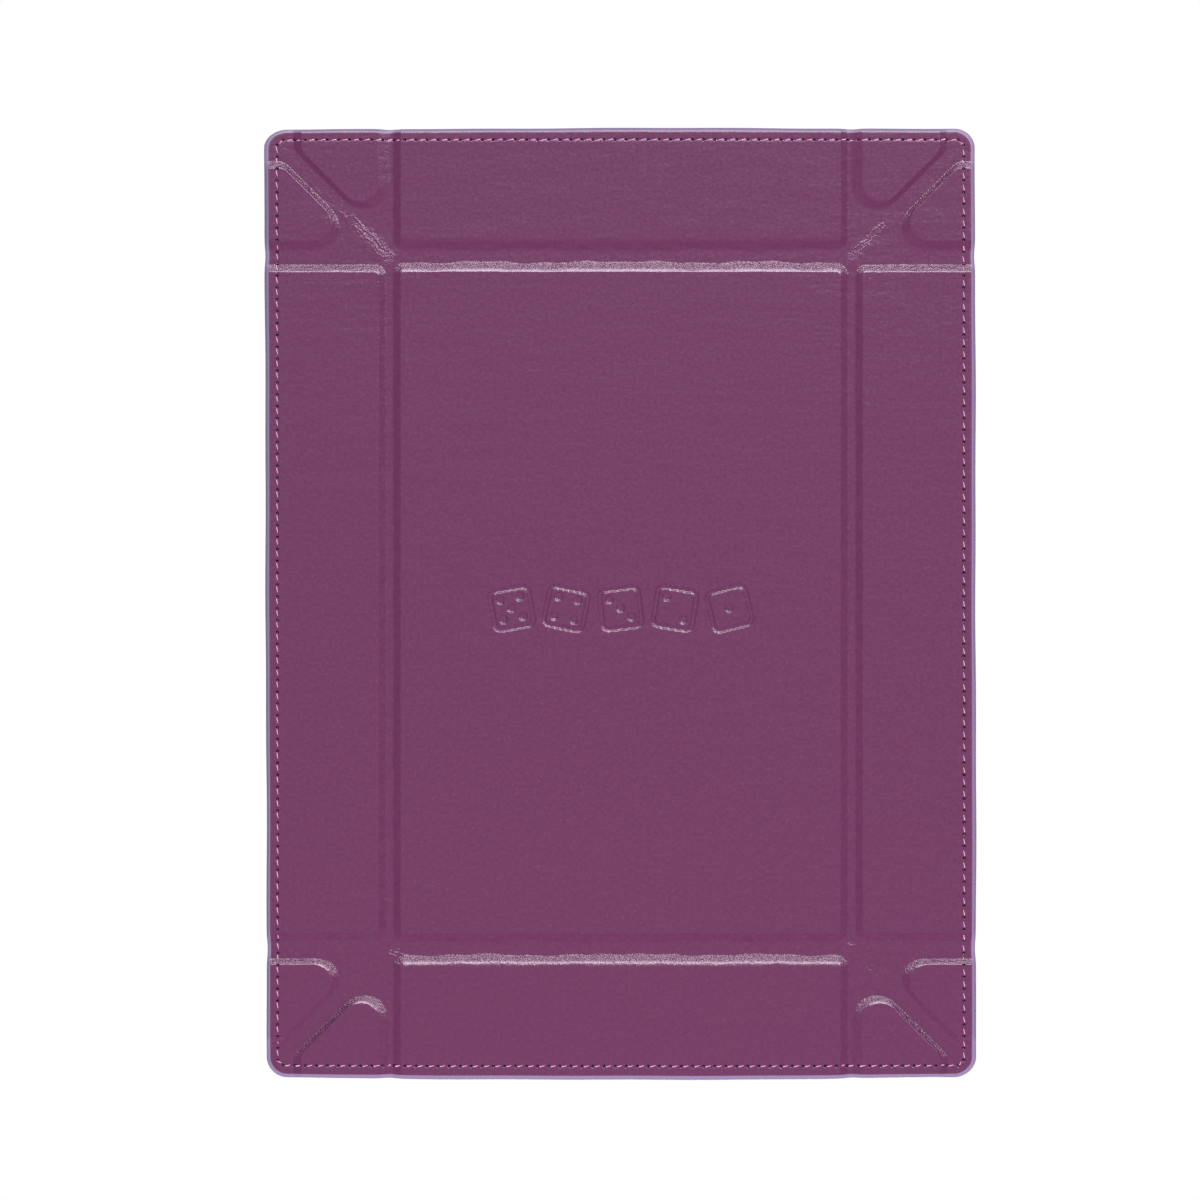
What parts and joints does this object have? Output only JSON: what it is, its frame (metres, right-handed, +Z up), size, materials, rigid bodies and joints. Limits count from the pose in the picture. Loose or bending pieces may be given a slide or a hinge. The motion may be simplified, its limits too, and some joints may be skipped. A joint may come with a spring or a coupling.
{
  "type": "folding dice tray",
  "caption": "Flat leatherette dice tray whose hinged walls fold up and whose corners pinch together with magnets.",
  "frame": {"origin": "centre of the tray's outer face, on the surface it lies on", "axes": "+X across the tray, +Y along its long side, +Z up through the playing side"},
  "size_m": [0.213, 0.286, 0.0035],
  "materials": {
    "leatherette": "satin",
    "lining_fabric": "matte",
    "stiffener_board": "matte",
    "magnet_nickel": "satin",
    "thread": "satin"
  },
  "bodies": {
    "centre_panel": {"board_centre": "stiffener_board", "cover_centre": "leatherette", "lining_centre": "lining_fabric"},
    "back_wall": {"board_back": "stiffener_board", "cover_back": "leatherette", "lining_back": "lining_fabric", "thread_back": "thread"},
    "front_wall": {"board_front": "stiffener_board", "cover_front": "leatherette", "lining_front": "lining_fabric", "thread_front": "thread"},
    "right_wall": {"board_right": "stiffener_board", "cover_right": "leatherette", "lining_right": "lining_fabric", "thread_right": "thread"},
    "left_wall": {"board_left": "stiffener_board", "cover_left": "leatherette", "lining_left": "lining_fabric", "thread_left": "thread"},
    "back_flap_right": {"board_back_flap_right": "stiffener_board", "cover_back_flap_right": "leatherette", "lining_back_flap_right": "lining_fabric", "thread_back_flap_right": "thread", "magnet_back_flap_right": "magnet_nickel"},
    "back_flap_left": {"board_back_flap_left": "stiffener_board", "cover_back_flap_left": "leatherette", "lining_back_flap_left": "lining_fabric", "thread_back_flap_left": "thread", "magnet_back_flap_left": "magnet_nickel"},
    "front_flap_right": {"board_front_flap_right": "stiffener_board", "cover_front_flap_right": "leatherette", "lining_front_flap_right": "lining_fabric", "thread_front_flap_right": "thread", "magnet_front_flap_right": "magnet_nickel"},
    "front_flap_left": {"board_front_flap_left": "stiffener_board", "cover_front_flap_left": "leatherette", "lining_front_flap_left": "lining_fabric", "thread_front_flap_left": "thread", "magnet_front_flap_left": "magnet_nickel"},
    "right_flap_back": {"board_right_flap_back": "stiffener_board", "cover_right_flap_back": "leatherette", "lining_right_flap_back": "lining_fabric", "thread_right_flap_back": "thread", "magnet_right_flap_back": "magnet_nickel"},
    "left_flap_back": {"board_left_flap_back": "stiffener_board", "cover_left_flap_back": "leatherette", "lining_left_flap_back": "lining_fabric", "thread_left_flap_back": "thread", "magnet_left_flap_back": "magnet_nickel"},
    "right_flap_front": {"board_right_flap_front": "stiffener_board", "cover_right_flap_front": "leatherette", "lining_right_flap_front": "lining_fabric", "thread_right_flap_front": "thread", "magnet_right_flap_front": "magnet_nickel"},
    "left_flap_front": {"board_left_flap_front": "stiffener_board", "cover_left_flap_front": "leatherette", "lining_left_flap_front": "lining_fabric", "thread_left_flap_front": "thread", "magnet_left_flap_front": "magnet_nickel"}
  },
  "joints": [
    {"name": "fold_back", "type": "hinge", "parent": "centre_panel", "child": "back_wall", "pos_m": [0, 0.10435, 0.0026], "axis": [1, 0, 0], "range_deg": [0, 90]},
    {"name": "fold_front", "type": "hinge", "parent": "centre_panel", "child": "front_wall", "pos_m": [0, -0.10435, 0.0026], "axis": [-1, 0, 0], "range_deg": [0, 90]},
    {"name": "fold_right", "type": "hinge", "parent": "centre_panel", "child": "right_wall", "pos_m": [0.06965, 0, 0.0026], "axis": [0, -1, 0], "range_deg": [0, 90]},
    {"name": "fold_left", "type": "hinge", "parent": "centre_panel", "child": "left_wall", "pos_m": [-0.06965, 0, 0.0026], "axis": [0, 1, 0], "range_deg": [0, 90]},
    {"name": "ear_back_right", "type": "hinge", "parent": "back_wall", "child": "back_flap_right", "pos_m": [0.06739, 0.12435, 0.0009], "axis": [0, 1, 0], "range_deg": [0, 45]},
    {"name": "pinch_back_right", "type": "hinge", "parent": "back_flap_right", "child": "right_flap_back", "pos_m": [0.06965, 0.10435, 0.0037], "axis": [-0.7071, -0.7071, 0], "range_deg": [0, 179.91]},
    {"name": "ear_back_left", "type": "hinge", "parent": "back_wall", "child": "back_flap_left", "pos_m": [-0.06739, 0.12435, 0.0009], "axis": [0, -1, 0], "range_deg": [0, 45]},
    {"name": "pinch_back_left", "type": "hinge", "parent": "back_flap_left", "child": "left_flap_back", "pos_m": [-0.06965, 0.10435, 0.0037], "axis": [-0.7071, 0.7071, 0], "range_deg": [0, 179.91]},
    {"name": "ear_front_right", "type": "hinge", "parent": "front_wall", "child": "front_flap_right", "pos_m": [0.06739, -0.12435, 0.0009], "axis": [0, 1, 0], "range_deg": [0, 45]},
    {"name": "pinch_front_right", "type": "hinge", "parent": "front_flap_right", "child": "right_flap_front", "pos_m": [0.06965, -0.10435, 0.0037], "axis": [0.7071, -0.7071, 0], "range_deg": [0, 179.91]},
    {"name": "ear_front_left", "type": "hinge", "parent": "front_wall", "child": "front_flap_left", "pos_m": [-0.06739, -0.12435, 0.0009], "axis": [0, -1, 0], "range_deg": [0, 45]},
    {"name": "pinch_front_left", "type": "hinge", "parent": "front_flap_left", "child": "left_flap_front", "pos_m": [-0.06965, -0.10435, 0.0037], "axis": [0.7071, 0.7071, 0], "range_deg": [0, 179.91]}
  ],
  "couplings": [
    {"joint": "fold_front", "follows": "fold_back", "ratio": 1},
    {"joint": "fold_right", "follows": "fold_back", "ratio": 1},
    {"joint": "fold_left", "follows": "fold_back", "ratio": 1},
    {"joint": "ear_back_right", "follows": "fold_back", "ratio": 0.5},
    {"joint": "pinch_back_right", "follows": "fold_back", "ratio": 1.999},
    {"joint": "ear_back_left", "follows": "fold_back", "ratio": 0.5},
    {"joint": "pinch_back_left", "follows": "fold_back", "ratio": 1.999},
    {"joint": "ear_front_right", "follows": "fold_back", "ratio": 0.5},
    {"joint": "pinch_front_right", "follows": "fold_back", "ratio": 1.999},
    {"joint": "ear_front_left", "follows": "fold_back", "ratio": 0.5},
    {"joint": "pinch_front_left", "follows": "fold_back", "ratio": 1.999}
  ]
}
